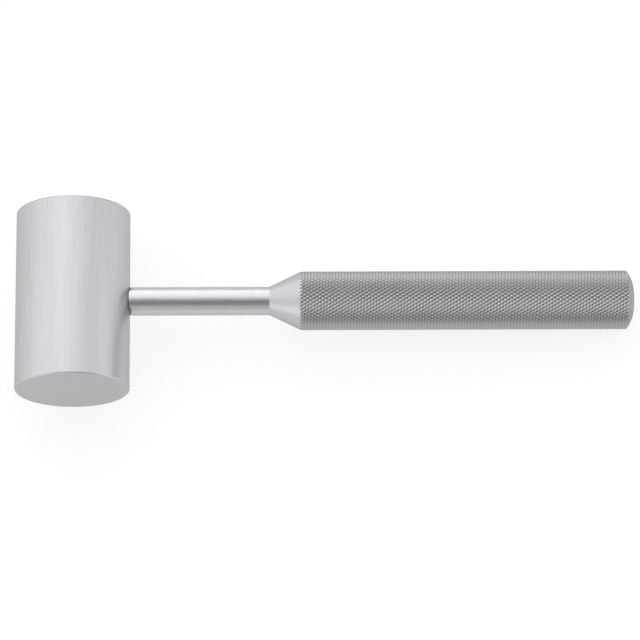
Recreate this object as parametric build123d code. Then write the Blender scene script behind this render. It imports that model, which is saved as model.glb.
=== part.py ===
"""Surgical mallet: a solid steel head on a turned handle with a diamond-knurled grip."""

import os
from math import asin, atan2, ceil, cos, degrees, hypot, pi, radians, sin, tan

from build123d import *

# All lengths are in millimetres and all angles in degrees.
# Each piece is drawn with the centre of the head at the origin, the head along Y and the handle
# along +X. The mallet is then laid down as it rests on a table, at Z = 0: on the side of its head
# and on the rear edge of its grip.

# Head
head_diameter = 40.0
head_length = 65.0
face_chamfer = 0.5

# Joint of head and handle: a shallow round seat and a tapped hole, drawn without its thread
seat_depth = 0.75
seat_gap = 0.2
stud_diameter = 8.0
stud_length = 16.0
stud_chamfer = 1.0
stud_gap = 0.03
hole_run_out = 2.0
drill_point_angle = 118.0

# Neck and the cone that leads into the grip
neck_diameter = 9.94
neck_bevel_length = 0.6
neck_bevel_drop = 0.35
neck_end = 68.7
cone_length = 11.3

# Grip, and the rounding of its rear end
grip_diameter = 20.7
handle_end = 196.35
end_face_diameter = 6.4
end_rounding = 10.8

# Diamond knurl: grooves along two crossing sets of helices. The real grip has 48 in each set.
knurl_grooves = 32
knurl_helix_angle = 32.2
knurl_depth = 0.5
knurl_phase = 0.35
bar_skin = 0.1
cutter_thickness = 2.0

head_radius = head_diameter / 2
neck_radius = neck_diameter / 2
grip_radius = grip_diameter / 2
bar_radius = grip_radius + bar_skin
stud_radius = stud_diameter / 2
end_face_radius = end_face_diameter / 2
seat_floor = head_radius - seat_depth
groove_radius = grip_radius - knurl_depth
cone_slope = (grip_radius - neck_radius) / cone_length


def rear_end(radius):
    """Place along the handle where the rounded rear end has this radius."""
    return handle_end - end_rounding * (1 - cos(asin((radius - end_face_radius) / end_rounding)))


def cone_at(radius):
    """Place along the handle where the cone has this radius."""
    return neck_end + (radius - neck_radius) / cone_slope


grip_end = rear_end(grip_radius)

# Slope of the handle at rest: the line from the head's centre to the grip's lowest rear edge ends
# one head radius below the centre.
rest_slope = asin(head_radius / hypot(grip_end, grip_radius)) - atan2(grip_radius, grip_end)


def make_head():
    """Bar of round steel, chamfered round both striking faces, with the handle's seat in its side."""
    bar = Cylinder(head_radius, head_length, rotation=(90, 0, 0))
    bar = chamfer(bar.edges().filter_by(GeomType.CIRCLE), face_chamfer)

    hole_radius = stud_radius + stud_gap
    hole_floor = seat_floor - stud_length - hole_run_out
    drill_point = hole_radius / tan(radians(drill_point_angle / 2))
    outside = head_radius + seat_depth
    socket = Polyline(
        (hole_floor - drill_point, 0),
        (hole_floor, hole_radius),
        (seat_floor, hole_radius),
        (seat_floor, neck_radius + seat_gap),
        (outside, neck_radius + seat_gap),
        (outside, 0),
        close=True,
    )
    return bar - revolve(make_face(socket), Axis.X)


def turned_bar():
    """The handle as it leaves the lathe: stud, shoulder, neck, cone, smooth grip and rounded end."""
    stud_tip = seat_floor - stud_length
    bevel_end = seat_floor + neck_bevel_length
    mid_radius = (bar_radius + end_face_radius) / 2
    front = Polyline(
        (handle_end, 0),
        (stud_tip, 0),
        (stud_tip, stud_radius - stud_chamfer),
        (stud_tip + stud_chamfer, stud_radius),
        (seat_floor, stud_radius),
        (seat_floor, neck_radius - neck_bevel_drop),
        (bevel_end, neck_radius),
        (neck_end, neck_radius),
        (cone_at(bar_radius), bar_radius),
        (rear_end(bar_radius), bar_radius),
    )
    rounding = ThreePointArc(
        (rear_end(bar_radius), bar_radius),
        (rear_end(mid_radius), mid_radius),
        (handle_end, end_face_radius),
    )
    end_face = Line((handle_end, end_face_radius), (handle_end, 0))
    return revolve(make_face([front, rounding, end_face]), Axis.X)


def knurl_cutter():
    """Sleeve round the grip whose inner wall is the knurl: rows of four-sided teeth, set in turn."""
    half_turn = 180 / knurl_grooves
    tooth_height = 2 * pi * grip_radius / knurl_grooves
    tooth_length = tooth_height / tan(radians(knurl_helix_angle))
    step = tooth_length / 2
    last_row = grip_end - knurl_phase * tooth_length
    rows_behind = ceil((handle_end - last_row) / step)
    rows_in_front = ceil((last_row - cone_at(groove_radius)) / step) + 1

    def point(column, row):
        radius = groove_radius if (column + row) % 2 else grip_radius
        angle = radians(column * half_turn)
        return Vector(last_row + row * step, radius * cos(angle), radius * sin(angle))

    def tooth_quarters(column, row):
        corners = [
            point(column, row),
            point(column + 1, row),
            point(column + 1, row + 1),
            point(column, row + 1),
        ]
        first = 0 if (column + row) % 2 else 1
        a, b, c, d = corners[first:] + corners[:first]
        return [Face(Wire.make_polygon(corner)) for corner in ((a, b, c), (a, c, d))]

    def end_ring(row):
        ring_plane = Plane(origin=(last_row + row * step, 0, 0), z_dir=(1, 0, 0))
        outer = Wire.make_circle(outer_radius, ring_plane)
        inner = Wire.make_polygon([point(column, row) for column in range(2 * knurl_grooves)])
        return Face(outer, [inner])

    outer_radius = bar_radius + cutter_thickness
    strip = Shell(
        [
            face
            for row in range(-rows_in_front, rows_behind)
            for column in range(2)
            for face in tooth_quarters(column, row)
        ]
    )
    faces = [
        face
        for turn in range(knurl_grooves)
        for face in strip.rotate(Axis.X, 2 * half_turn * turn).faces()
    ]
    front_ring = end_ring(-rows_in_front)
    rear_ring = end_ring(rows_behind)
    length = (rows_behind + rows_in_front) * step
    outer_wall = Face.extrude(front_ring.outer_wire().edge(), (length, 0, 0))
    return Solid(Shell(faces + [front_ring, rear_ring, outer_wall]))


def make_handle():
    """Turned bar with the knurl cut into its grip, so the teeth run out on the cone and the rounding."""
    return turned_bar() - knurl_cutter()


def lay_down(piece):
    """Turn a piece to its slope at rest and set the middle of the mallet's outline over the origin."""
    rearmost = (
        (handle_end - end_rounding) * cos(rest_slope)
        + end_face_radius * sin(rest_slope)
        + end_rounding
    )
    middle = (rearmost - head_radius) / 2
    return Pos(-middle, 0, head_radius) * Rot(0, degrees(rest_slope), 0) * piece


os.makedirs("parts", exist_ok=True)
export_step(lay_down(make_head()), "parts/head.step")
export_step(lay_down(make_handle()), "parts/handle.step")
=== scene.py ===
"""Surgical mallet lying on a white table: satin steel head, polished neck and diamond-knurled grip."""

from math import asin, atan2, ceil, cos, floor, hypot, pi, radians, sin, tan

import bpy
import numpy as np
from mathutils import Matrix, Vector


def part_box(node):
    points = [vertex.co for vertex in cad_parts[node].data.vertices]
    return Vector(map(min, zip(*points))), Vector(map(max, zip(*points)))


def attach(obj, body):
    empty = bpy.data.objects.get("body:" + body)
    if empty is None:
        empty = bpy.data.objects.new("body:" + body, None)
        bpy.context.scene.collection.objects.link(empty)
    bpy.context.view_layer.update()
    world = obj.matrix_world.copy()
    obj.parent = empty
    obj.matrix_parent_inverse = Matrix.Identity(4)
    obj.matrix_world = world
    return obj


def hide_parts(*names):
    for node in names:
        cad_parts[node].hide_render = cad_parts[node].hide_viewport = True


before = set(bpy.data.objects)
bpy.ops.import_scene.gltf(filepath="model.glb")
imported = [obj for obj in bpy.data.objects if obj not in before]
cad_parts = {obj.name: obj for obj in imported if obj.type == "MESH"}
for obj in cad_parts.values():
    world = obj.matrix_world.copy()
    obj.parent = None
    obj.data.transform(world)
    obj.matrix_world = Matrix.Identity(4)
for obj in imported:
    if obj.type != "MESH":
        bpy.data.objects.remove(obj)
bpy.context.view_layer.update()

MM = 0.001
near_enough = 0.0001 * MM
sharp_angle = radians(20)

# Head, as the frame gives it. Each of its edges is broken by a tiny bevel, whose corners are cut
# once more at this share of it.
head_low, head_high = (Vector(corner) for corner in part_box("head"))
head_centre = (head_low + head_high) / 2
head_radius = (head_high.z - head_low.z) / 2
head_length = head_high.y - head_low.y
face_chamfer = 0.5 * MM
edge_break = 0.08 * MM
corner_share = 0.3
head_segments = 512

# Seat of the neck in the head, and the blind hole behind it
seat_depth = 0.75 * MM
seat_gap = 0.2 * MM
stud_radius = 4.0 * MM
stud_length = 16.0 * MM
stud_chamfer = 1.0 * MM
stud_gap = 0.03 * MM
hole_run_out = 2.0 * MM
drill_point = 2.4 * MM
seat_segments = 160

# Handle, measured from the centre of the head along its axis. A shallow seam marks where the neck
# leaves the head, and a narrow land ends the cone.
neck_radius = 4.97 * MM
seam_depth = 0.08 * MM
seam_width = 0.3 * MM
seam_bevel = 0.5 * MM
neck_end = 68.7 * MM
cone_length = 11.3 * MM
land_length = 0.5 * MM
land_slope = 0.2
grip_radius = 10.35 * MM
handle_end = 196.35 * MM
end_face_radius = 3.2 * MM
end_rounding = 10.8 * MM
end_steps = 10

# Diamond knurl at its real pitch. One set of grooves is deeper than the set that crosses it.
knurl_grooves = 48
knurl_helix_angle = radians(32.2)
knurl_depth = 0.45 * MM
knurl_cross_depth = 0.25 * MM
tooth_steps = (0.0, 0.36, 0.5, 0.64)
tooth_heights = (0.0, 0.78, 1.0, 0.78)
crossing_steps = 20

seat_floor = head_radius - seat_depth
cone_slope = (grip_radius - neck_radius) / cone_length
grip_end = handle_end - end_rounding * (1 - cos(asin((grip_radius - end_face_radius) / end_rounding)))
rest_slope = asin(head_radius / hypot(grip_end, grip_radius)) - atan2(grip_radius, grip_end)
handle_place = Matrix.Translation(head_centre) @ Matrix.Rotation(rest_slope, 4, "Y")
head_place = Matrix.Translation(head_centre) @ Matrix.Rotation(radians(90), 4, "Z")


def lathe_radius(x):
    """Radius of the bar before knurling: the cone in front, the rounded end behind."""
    cone = neck_radius + (x - neck_end) * cone_slope
    land_start = neck_end + cone_length - land_length
    land = grip_radius - land_length * cone_slope + (x - land_start) * land_slope
    behind = np.clip(x - (handle_end - end_rounding), 0, end_rounding)
    rounding = end_face_radius + np.sqrt(end_rounding**2 - behind**2)
    return np.minimum(np.minimum(cone, land), rounding)


def rolled(x, angle, radius):
    """Points at these places along the axis, angles round it and distances from it."""
    return np.column_stack((x, radius * np.cos(angle), radius * np.sin(angle)))


def ring_points(profile, angles):
    """Points of a turned shape, ring by ring, as separate arrays of place, angle and radius."""
    x = np.concatenate([np.broadcast_to(place, len(angles)) for place, _ in profile])
    radius = np.concatenate([np.broadcast_to(distance, len(angles)) for _, distance in profile])
    return x, np.tile(angles, len(profile)), radius


def ring_faces(first, second):
    """Quads between two rings of vertex numbers, given from the front ring to the one behind."""
    after = np.roll(first, -1), np.roll(second, -1)
    return np.column_stack((first, after[0], after[1], second)).tolist()


def moved(points, place):
    """These points after the move."""
    matrix = np.array(place)
    return points @ matrix[:3, :3].T + matrix[:3, 3]


def shade_smooth(mesh):
    """Smooth shading that keeps the real edges sharp."""
    mesh.polygons.foreach_set("use_smooth", [True] * len(mesh.polygons))
    mesh.set_sharp_from_angle(angle=sharp_angle)


def add_object(name, data):
    """New object in the scene, which shows this mesh or is this camera."""
    item = bpy.data.objects.new(name, data)
    bpy.context.scene.collection.objects.link(item)
    return item


def mesh_object(name, points, faces, place):
    """Object at the origin whose mesh holds these points, moved to their place."""
    mesh = bpy.data.meshes.new(name)
    mesh.from_pydata(moved(points, place).tolist(), [], faces)
    shade_smooth(mesh)
    return add_object(name, mesh)


def unmoved_points(mesh, place):
    """Points of a mesh as they were before they were moved to their place."""
    points = np.empty(len(mesh.vertices) * 3)
    mesh.vertices.foreach_get("co", points)
    return moved(points.reshape(-1, 3), place.inverted())


def corner_numbers(mesh):
    """For all corners of the faces, in order, the numbers of their vertices."""
    numbers = np.empty(len(mesh.loops), dtype=int)
    mesh.loops.foreach_get("vertex_index", numbers)
    return numbers


def add_surface_map(piece, place):
    """UV map in metres: U along the turning axis, V round it at the surface, with its seam below."""
    mesh = piece.data
    points = unmoved_points(mesh, place)[corner_numbers(mesh)]
    angle = np.arctan2(points[:, 1], points[:, 2])
    radius = np.hypot(points[:, 1], points[:, 2])
    starts = np.empty(len(mesh.polygons), dtype=int)
    totals = np.empty(len(mesh.polygons), dtype=int)
    mesh.polygons.foreach_get("loop_start", starts)
    mesh.polygons.foreach_get("loop_total", totals)
    first = np.repeat(angle[starts], totals)
    angle = angle + 2 * pi * ((angle - first < -pi).astype(int) - (angle - first > pi).astype(int))
    uv = np.column_stack((points[:, 0], angle * radius))
    mesh.uv_layers.new(name="surface").data.foreach_set("uv", uv.ravel())


def turned_solid(name, profile, segments, place):
    """Closed turned piece from its half outline, which starts and ends on the axis."""
    angles = np.arange(segments) * 2 * pi / segments
    points = rolled(*ring_points(profile[1:-1], angles))
    tips = [[profile[0][0], 0, 0], [profile[-1][0], 0, 0]]
    rings = np.arange(len(points)).reshape(-1, segments)
    faces = [face for pair in zip(rings, rings[1:]) for face in ring_faces(*pair)]
    front, rear = len(points), len(points) + 1
    faces += [[front, b, a] for a, b in zip(rings[0], np.roll(rings[0], -1))]
    faces += [[rear, a, b] for a, b in zip(rings[-1], np.roll(rings[-1], -1))]
    return mesh_object(name, np.vstack((points, tips)), faces, place)


def head_bar():
    """Round bar with chamfered, very slightly broken edges."""
    half = head_length / 2
    flat = head_radius - face_chamfer
    side = half - face_chamfer
    nip = edge_break
    corner = corner_share * nip
    edge = [
        (half, flat - 2 * nip),
        (half, flat - nip),
        (half - corner, flat - corner),
        (half - nip, flat + nip),
        (side + nip, head_radius - nip),
        (side + corner, head_radius - corner),
        (side - nip, head_radius),
        (side - 2 * nip, head_radius),
    ]
    front = [(-x, radius) for x, radius in edge]
    profile = [(-half, 0), *front, *reversed(edge), (half, 0)]
    return turned_solid("head_bar", profile, head_segments, head_place)


def seat_drill():
    """What is bored out of the head: the neck's seat and the blind hole for the stud."""
    hole_radius = stud_radius + stud_gap
    hole_floor = seat_floor - stud_length - hole_run_out
    outside = head_radius + seat_depth
    profile = [
        (hole_floor - drill_point, 0),
        (hole_floor, hole_radius),
        (seat_floor, hole_radius),
        (seat_floor, neck_radius + seat_gap),
        (outside, neck_radius + seat_gap),
        (outside, 0),
    ]
    return turned_solid("drill", profile, seat_segments, handle_place)


def make_head():
    """Head bar with the seat and the hole bored in its side."""
    head = head_bar()
    drill = seat_drill()
    bore = head.modifiers.new("bore", "BOOLEAN")
    bore.object = drill
    bore.operation = "DIFFERENCE"
    bore.solver = "EXACT"
    bpy.context.view_layer.update()
    bored = head.evaluated_get(bpy.context.evaluated_depsgraph_get())
    mesh = bpy.data.meshes.new_from_object(bored)
    head.modifiers.clear()
    head.data = mesh
    shade_smooth(mesh)
    bpy.data.objects.remove(drill)
    return head


class Knurl:
    """Grid of the knurled surface, unrolled: place along the axis, angle round it and radius.

    Two sets of grooves cross it, a = 0, 1, 2... and b = 0, 1, 2..., and each tooth fills one cell
    of a and b. A vertex is known by its sub-step of a minus that of b, and its sub-step of b.
    """

    parts = len(tooth_steps)
    tooth_height = 2 * pi * grip_radius / knurl_grooves
    tooth_length = tooth_height / tan(knurl_helix_angle)
    around = parts * knurl_grooves

    def __init__(self):
        step = self.tooth_length / 2
        root_radius = grip_radius - knurl_depth
        cone_root = neck_end + (root_radius - neck_radius) / cone_slope
        self.first = floor(cone_root / step) - 1
        self.last = ceil(grip_end / step) + 1
        self.low = self.parts * (self.first - 1)
        rows = self.parts * (self.last - self.first + 1) + 1
        difference, b_step = np.meshgrid(
            np.arange(rows) + self.low, np.arange(self.around), indexing="ij"
        )
        a, a_height = self.place_and_height(difference + b_step)
        b, b_height = self.place_and_height(b_step)
        self.x = ((a - b) * step).ravel()
        self.angle = ((a + b) * pi / knurl_grooves).ravel()
        cut = np.maximum(knurl_depth * (1 - a_height), knurl_cross_depth * (1 - b_height))
        self.radius = (grip_radius - cut).ravel()
        self.triangles = self.all_triangles()
        self.front_ring = self.zigzag(self.parts * self.first, -1)
        self.rear_ring = self.zigzag(self.parts * (self.last - 1), 1)
        self.x[self.front_ring] = (self.first - 1) * step
        self.x[self.rear_ring] = self.last * step

    def place_and_height(self, steps):
        """Where a sub-step lies among the grooves of its set, and how high the tooth is there."""
        part = steps % self.parts
        place = steps // self.parts + np.array(tooth_steps)[part]
        return place, np.array(tooth_heights)[part]

    def number(self, difference, b_step):
        """Vertex number of a grid point, which repeats after one turn."""
        return (difference - self.low) * self.around + b_step % self.around

    def all_triangles(self):
        """Two triangles for each quad of the grid, split along the ridges of the teeth."""
        half = self.parts // 2
        tooth, row, k, l = np.meshgrid(
            np.arange(knurl_grooves),
            np.arange(self.first, self.last),
            np.arange(self.parts),
            np.arange(self.parts),
            indexing="ij",
        )
        difference = self.parts * row + k - l
        b_step = self.parts * tooth + l
        near = self.number(difference, b_step)
        left = self.number(difference - 1, b_step + 1)
        far = self.number(difference, b_step + 1)
        right = self.number(difference + 1, b_step)
        along = ((k < half) == (l < half))[..., None]
        first = np.where(along, np.stack((near, left, far), -1), np.stack((near, left, right), -1))
        second = np.where(along, np.stack((near, far, right), -1), np.stack((left, far, right), -1))
        return np.concatenate((first.reshape(-1, 3), second.reshape(-1, 3)))

    def zigzag(self, difference, side):
        """Vertices of the grid's front (side -1) or rear (side 1) edge, in order round the axis."""
        ring = []
        for tooth in range(knurl_grooves):
            start = self.parts * tooth
            for k in range(self.parts):
                b_step = start + k if side < 0 else start
                ring.append(self.number(difference + side * k, b_step))
            for k in range(self.parts):
                b_step = start + self.parts if side < 0 else start + k
                ring.append(self.number(difference + side * (self.parts - k), b_step))
        return np.array(ring)

    def cut_to_lathe(self):
        """Splits the triangles that the cone and the rounding cross, and lowers what stands above."""
        above = self.radius - lathe_radius(self.x)
        side = above > 0
        crossed = side[self.triangles].any(1) & ~side[self.triangles].all(1)
        extra = []
        cuts = {}

        def cut(p, q):
            p, q = min(p, q), max(p, q)
            if (p, q) not in cuts:
                cuts[p, q] = len(self.x) + len(extra)
                share = self.crossing(p, q)
                turn = self.angle[q] - self.angle[p]
                turn -= 2 * pi * round(turn / (2 * pi))
                x = self.x[p] + share * (self.x[q] - self.x[p])
                radius = self.radius[p] + share * (self.radius[q] - self.radius[p])
                extra.append((x, self.angle[p] + share * turn, radius))
            return cuts[p, q]

        pieces = []
        for triangle in self.triangles[crossed].tolist():
            while side[triangle[1]] != side[triangle[2]]:
                triangle = triangle[1:] + triangle[:1]
            lone, second, third = triangle
            to_second, to_third = cut(lone, second), cut(lone, third)
            pieces.append((lone, to_second, to_third))
            pieces.append((to_second, second, third))
            pieces.append((to_second, third, to_third))
        self.triangles = np.concatenate((self.triangles[~crossed], np.array(pieces)))
        added = np.array(extra).T
        self.x = np.concatenate((self.x, added[0]))
        self.angle = np.concatenate((self.angle, added[1]))
        self.radius = np.minimum(np.concatenate((self.radius, added[2])), lathe_radius(self.x))

    def crossing(self, p, q):
        """Share of the way from vertex p to q at which the tooth meets the turned surface."""
        low, high = 0.0, 1.0
        starts_above = self.radius[p] > lathe_radius(self.x[p])
        for _ in range(crossing_steps):
            share = (low + high) / 2
            x = self.x[p] + share * (self.x[q] - self.x[p])
            radius = self.radius[p] + share * (self.radius[q] - self.radius[p])
            if (radius > lathe_radius(x)) == starts_above:
                low = share
            else:
                high = share
        return share


def front_profile(angles):
    """Half outline of stud, shoulder, seam, neck and the start of the cone, from the front."""
    stud_tip = seat_floor - stud_length
    seam_radius = neck_radius - seam_depth
    leaves_head = np.sqrt(head_radius**2 - (seam_radius * np.sin(angles)) ** 2)
    neck_start = leaves_head + seam_width + seam_bevel
    return [
        (stud_tip, stud_radius - stud_chamfer),
        (stud_tip + stud_chamfer, stud_radius),
        (seat_floor, stud_radius),
        (seat_floor, seam_radius),
        (leaves_head, seam_radius),
        (leaves_head + seam_width, seam_radius),
        (neck_start, neck_radius),
        (neck_start + edge_break, neck_radius),
        (neck_end - edge_break, neck_radius),
        (neck_end, neck_radius),
        (neck_end + edge_break, neck_radius + edge_break * cone_slope),
    ]


def rear_profile(start):
    """Half outline of the rounded end behind this place, and of the edge of its flat face."""
    centre = handle_end - end_rounding
    turns = np.linspace(asin((start - centre) / end_rounding), pi / 2, end_steps)[1:]
    rounding = [
        (centre + end_rounding * sin(turn), end_face_radius + end_rounding * cos(turn))
        for turn in turns
    ]
    return [*rounding, (handle_end, end_face_radius - edge_break)]


def make_handle():
    """Stud, neck and cone, the knurled grip and the rounded end, as one closed surface."""
    knurl = Knurl()
    knurl.cut_to_lathe()
    front_angles = knurl.angle[knurl.front_ring]
    rear_angles = knurl.angle[knurl.rear_ring]
    front = front_profile(front_angles)
    rear = rear_profile(knurl.x[knurl.rear_ring[0]])
    used, numbers = np.unique(knurl.triangles, return_inverse=True)
    renumber = {old: new for new, old in enumerate(used.tolist())}
    faces = numbers.reshape(-1, 3).tolist()
    front_ring = np.array([renumber[v] for v in knurl.front_ring.tolist()])
    rear_ring = np.array([renumber[v] for v in knurl.rear_ring.tolist()])
    parts = [
        rolled(knurl.x[used], knurl.angle[used], knurl.radius[used]),
        rolled(*ring_points(front, front_angles)),
        rolled(*ring_points(rear, rear_angles)),
        np.array([[seat_floor - stud_length, 0, 0], [handle_end, 0, 0]]),
    ]
    starts = np.cumsum([len(part) for part in parts])
    front_rings = np.arange(starts[0], starts[1]).reshape(len(front), -1)
    rear_rings = np.arange(starts[1], starts[2]).reshape(len(rear), -1)
    front_tip, rear_tip = starts[2], starts[2] + 1
    for chain in ([*front_rings, front_ring], [rear_ring, *rear_rings]):
        faces += [face for pair in zip(chain, chain[1:]) for face in ring_faces(*pair)]
    faces += [[front_tip, b, a] for a, b in zip(front_rings[0], np.roll(front_rings[0], -1))]
    faces += [[rear_tip, a, b] for a, b in zip(rear_rings[-1], np.roll(rear_rings[-1], -1))]
    return mesh_object("turned_handle", np.vstack(parts), faces, handle_place)


def socket(node, name, value):
    """Sets one input of a shader node."""
    node.inputs[name].default_value = value


# Steel: its colour, how much darker it looks at a glancing angle, and the shares of that colour,
# painted shade, which cone and knurl have. The middle part of a noise, between low and high, is
# what shows.
steel_colour = (0.545, 0.55, 0.565)
edge_tint = 0.72
cone_shade_share = 0.94
knurl_shade_share = 0.7
# Painted shade: the dark colour of the seam where the neck meets the head, over a real shallow groove.
seam_shade_colour = (0.2, 0.2, 0.205)
noise_low, noise_high = 0.3, 0.7


class Steel:
    """Procedural steel: one shader whose roughness, tint and fine relief come from noise."""

    def __init__(self, name, colour, roughness):
        self.material = bpy.data.materials.new(name)
        self.material.use_nodes = True
        self.nodes = self.material.node_tree.nodes
        self.links = self.material.node_tree.links
        self.shader = self.nodes["Principled BSDF"]
        self.colour, self.roughness = colour, roughness
        socket(self.shader, "Metallic", 1.0)
        socket(self.shader, "Base Color", (*colour, 1))
        socket(self.shader, "Roughness", roughness)
        socket(self.shader, "Specular Tint", (edge_tint, edge_tint, edge_tint, 1))
        self.surface = self.nodes.new("ShaderNodeUVMap")
        self.surface.uv_map = "surface"

    def noise(self, along, around, detail, shift=0.0):
        """Noise with grains of this size, in metres, along the axis and round it."""
        mapping = self.nodes.new("ShaderNodeMapping")
        socket(mapping, "Scale", (1 / along, 1 / around, 1))
        socket(mapping, "Location", (shift, shift, shift))
        texture = self.nodes.new("ShaderNodeTexNoise")
        socket(texture, "Scale", 1.0)
        socket(texture, "Detail", detail)
        self.links.new(self.surface.outputs["UV"], mapping.inputs["Vector"])
        self.links.new(mapping.outputs["Vector"], texture.inputs["Vector"])
        return texture.outputs["Fac"]

    def spread(self, source, low, high):
        """Stretches a noise value to a range."""
        span = self.nodes.new("ShaderNodeMapRange")
        socket(span, "From Min", noise_low)
        socket(span, "From Max", noise_high)
        socket(span, "To Min", low)
        socket(span, "To Max", high)
        self.links.new(source, span.inputs["Value"])
        return span.outputs["Result"]

    def rough(self, source, change):
        """Roughness that varies by this much either way."""
        value = self.spread(source, self.roughness - change, self.roughness + change)
        self.links.new(value, self.shader.inputs["Roughness"])

    def tint(self, source, change):
        """Base colour that is darker and lighter by this share."""
        mix = self.nodes.new("ShaderNodeMix")
        mix.data_type = "RGBA"
        dark = [c * (1 - change) for c in self.colour]
        light = [min(1, c * (1 + change)) for c in self.colour]
        first, second = [slot for slot in mix.inputs if slot.type == "RGBA"]
        first.default_value = (*dark, 1)
        second.default_value = (*light, 1)
        self.links.new(self.spread(source, 0, 1), mix.inputs[0])
        result = next(slot for slot in mix.outputs if slot.type == "RGBA")
        self.links.new(result, self.shader.inputs["Base Color"])

    def relief(self, source, height):
        """Fine relief of this height, in metres."""
        bump = self.nodes.new("ShaderNodeBump")
        socket(bump, "Distance", height)
        socket(bump, "Strength", 1.0)
        self.links.new(source, bump.inputs["Height"])
        self.links.new(bump.outputs["Normal"], self.shader.inputs["Normal"])


def head_side_steel():
    """Satin, drawn along the head in faint streaks."""
    steel = Steel("head_side_steel", steel_colour, roughness=0.35)
    streaks = steel.noise(along=30 * MM, around=0.6 * MM, detail=4.0)
    steel.rough(streaks, 0.05)
    steel.tint(steel.noise(along=24 * MM, around=0.9 * MM, detail=4.0, shift=7.0), 0.04)
    steel.relief(streaks, 0.008 * MM)
    return steel.material


def head_face_steel():
    """Ground striking face."""
    steel = Steel("head_face_steel", steel_colour, roughness=0.34)
    steel.rough(steel.noise(along=2 * MM, around=2 * MM, detail=4.0), 0.03)
    return steel.material


def neck_steel():
    """Polished, with the slight waves of a hand polish."""
    steel = Steel("neck_steel", steel_colour, roughness=0.23)
    steel.rough(steel.noise(along=6 * MM, around=1 * MM, detail=3.0), 0.03)
    steel.tint(steel.noise(along=4 * MM, around=2 * MM, detail=3.0, shift=3.0), 0.03)
    steel.relief(steel.noise(along=6 * MM, around=2 * MM, detail=2.0, shift=5.0), 0.05 * MM)
    return steel.material


def cone_steel():
    """Satin, with fine turning lines round it, in a darker share of the steel's colour as painted
    shade.
    """
    steel = Steel("cone_steel", [cone_shade_share * c for c in steel_colour], roughness=0.3)
    lines = steel.noise(along=0.25 * MM, around=30 * MM, detail=3.0)
    steel.rough(lines, 0.05)
    steel.relief(lines, 0.006 * MM)
    return steel.material


def knurl_steel():
    """Cut and lightly worn teeth, and the rounded end behind them, in a darker share of the steel's
    colour as painted shade.
    """
    steel = Steel("knurl_steel", [knurl_shade_share * c for c in steel_colour], roughness=0.23)
    steel.rough(steel.noise(along=0.6 * MM, around=0.6 * MM, detail=3.0), 0.05)
    steel.tint(steel.noise(along=9 * MM, around=6 * MM, detail=3.0, shift=2.0), 0.03)
    return steel.material


def seam_shade_steel():
    """Dark, dull line where the neck leaves the head: painted shade of the joint, laid on its real
    shallow groove.
    """
    return Steel("seam_shade_steel", seam_shade_colour, roughness=0.5).material


def paint_handle(handle):
    """The seam gets painted shade, neck and cone each get their own finish, and the grip has one with
    its rounded end.
    """
    mesh = handle.data
    for material in (neck_steel(), cone_steel(), knurl_steel(), seam_shade_steel()):
        mesh.materials.append(material)
    on_neck, on_cone, on_knurl, on_seam_shade = range(4)
    points = unmoved_points(mesh, handle_place)
    x = points[:, 0]
    radius = np.hypot(points[:, 1], points[:, 2])
    seam = np.abs(radius - (neck_radius - seam_depth)) < near_enough
    neck = x < neck_end + near_enough
    cone = (np.abs(radius - lathe_radius(x)) < near_enough) & (x < neck_end + cone_length)

    def finish(corners):
        if seam[corners].all():
            return on_seam_shade
        if neck[corners].all():
            return on_neck
        return on_cone if cone[corners].all() else on_knurl

    slots = [finish(list(face.vertices)) for face in mesh.polygons]
    mesh.polygons.foreach_set("material_index", slots)


def paint_head(head):
    """The striking faces are ground, the rest is satin."""
    mesh = head.data
    for material in (head_side_steel(), head_face_steel()):
        mesh.materials.append(material)
    face_plane = head_length / 2 - near_enough
    slots = [int(abs(face.center.y) > face_plane) for face in mesh.polygons]
    mesh.polygons.foreach_set("material_index", slots)


# Table: half its width, and the strength and share of its own glow. The rest takes the shadow.
table_reach = 3.0
table_white = 0.9
table_roughness = 0.9
table_glow = 1.07
table_glow_share = 0.75


def make_table():
    """White table top that the camera and the steel see as white, with the mallet's shadow."""
    mesh = bpy.data.meshes.new("table_top")
    signs = ((-1, -1), (1, -1), (1, 1), (-1, 1))
    mesh.from_pydata([(table_reach * x, table_reach * y, 0) for x, y in signs], [], [(0, 1, 2, 3)])
    table = add_object("table_top", mesh)
    material = bpy.data.materials.new("table_white")
    material.use_nodes = True
    nodes, links = material.node_tree.nodes, material.node_tree.links
    shader = nodes["Principled BSDF"]
    socket(shader, "Base Color", (table_white, table_white, table_white, 1))
    socket(shader, "Roughness", table_roughness)
    socket(shader, "Specular IOR Level", 0.0)
    glow = nodes.new("ShaderNodeEmission")
    socket(glow, "Strength", table_glow)
    path = nodes.new("ShaderNodeLightPath")
    seen = path.outputs["Is Camera Ray"]
    for ray in ("Is Glossy Ray", "Is Transmission Ray"):
        either = nodes.new("ShaderNodeMath")
        either.operation = "MAXIMUM"
        links.new(seen, either.inputs[0])
        links.new(path.outputs[ray], either.inputs[1])
        seen = either.outputs[0]
    share = nodes.new("ShaderNodeMath")
    share.operation = "MULTIPLY"
    share.inputs[1].default_value = table_glow_share
    links.new(seen, share.inputs[0])
    mix = nodes.new("ShaderNodeMixShader")
    links.new(share.outputs[0], mix.inputs[0])
    links.new(shader.outputs[0], mix.inputs[1])
    links.new(glow.outputs[0], mix.inputs[2])
    links.new(mix.outputs[0], nodes["Material Output"].inputs["Surface"])
    mesh.materials.append(material)


# Soft glows round the mallet: azimuth and elevation in degrees, sharpness and strength
studio_base = 0.17
studio_glows = {
    "right": (-8, 13, 9.0, 1.95),
    "back": (104, 19, 9.0, 1.75),
    "back_high": (57, 53, 5.6, 1.0),
    "above": (133, 62, 9.0, 0.8),
    "left_back": (170, 25, 6.5, 0.92),
    "left_front": (203, 2, 9.0, 2.1),
    "front": (258, 15, 7.0, 0.72),
}


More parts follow.
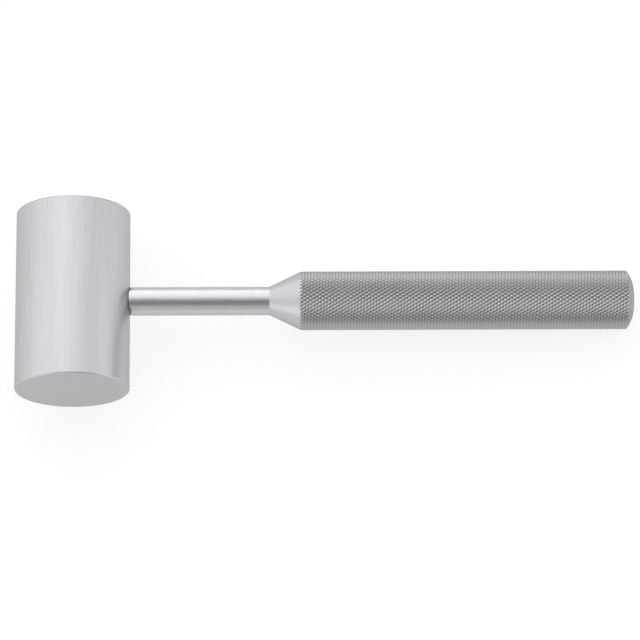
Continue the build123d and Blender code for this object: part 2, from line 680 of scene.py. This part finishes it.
def light_studio():
    """White tent of soft light: each glow fades smoothly away from its own direction."""
    world = bpy.data.worlds.new("studio")
    world.use_nodes = True
    nodes, links = world.node_tree.nodes, world.node_tree.links

    def math(operation, value, *numbers):
        node = nodes.new("ShaderNodeMath")
        node.operation = operation
        links.new(value, node.inputs[0])
        for slot, number in enumerate(numbers, 1):
            if isinstance(number, float):
                node.inputs[slot].default_value = number
            else:
                links.new(number, node.inputs[slot])
        return node.outputs[0]

    direction = nodes.new("ShaderNodeTexCoord").outputs["Generated"]
    total = None
    for azimuth, elevation, sharpness, strength in studio_glows.values():
        turn, rise = radians(azimuth), radians(elevation)
        towards = nodes.new("ShaderNodeVectorMath")
        towards.operation = "DOT_PRODUCT"
        towards.inputs[1].default_value = (cos(rise) * cos(turn), cos(rise) * sin(turn), sin(rise))
        links.new(direction, towards.inputs[0])
        fall = math("EXPONENT", math("MULTIPLY_ADD", towards.outputs["Value"], sharpness, -sharpness))
        glow = math("MULTIPLY", fall, float(strength))
        total = math("ADD", glow, studio_base if total is None else total)
    background = nodes["Background"]
    socket(background, "Color", (1, 1, 1, 1))
    links.new(total, background.inputs["Strength"])
    bpy.context.scene.world = world


def place_camera():
    """Camera of the photograph, found from the mallet's outline in its 640-pixel frame."""
    frame_pixels, sensor_width = 640, 36.0
    focal_pixels = 3829.93
    distance = 1338.77 * MM
    across, upwards = 86.422 * MM, -6.408 * MM
    elevation, azimuth, roll = radians(71.588), radians(4.266), radians(-5.144)
    back = Vector((sin(azimuth) * cos(elevation), -cos(azimuth) * cos(elevation), sin(elevation)))
    level = Vector((cos(azimuth), sin(azimuth), 0))
    upright = back.cross(level)
    right = cos(roll) * level + sin(roll) * upright
    up = cos(roll) * upright - sin(roll) * level
    data = bpy.data.cameras.new("photo_camera")
    data.sensor_fit = "HORIZONTAL"
    data.sensor_width = sensor_width
    data.lens = focal_pixels / frame_pixels * sensor_width
    camera = add_object("photo_camera", data)
    turn = Matrix((right, up, back)).transposed().to_4x4()
    spot = head_centre + distance * back + across * right + upwards * up
    camera.matrix_world = Matrix.Translation(spot) @ turn
    bpy.context.scene.camera = camera


head = make_head()
add_surface_map(head, head_place)
paint_head(head)
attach(head, "root")
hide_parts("head")

handle = make_handle()
add_surface_map(handle, handle_place)
paint_handle(handle)
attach(handle, "root")
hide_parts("handle")

make_table()
light_studio()
place_camera()
bpy.context.scene.view_settings.view_transform = "Standard"
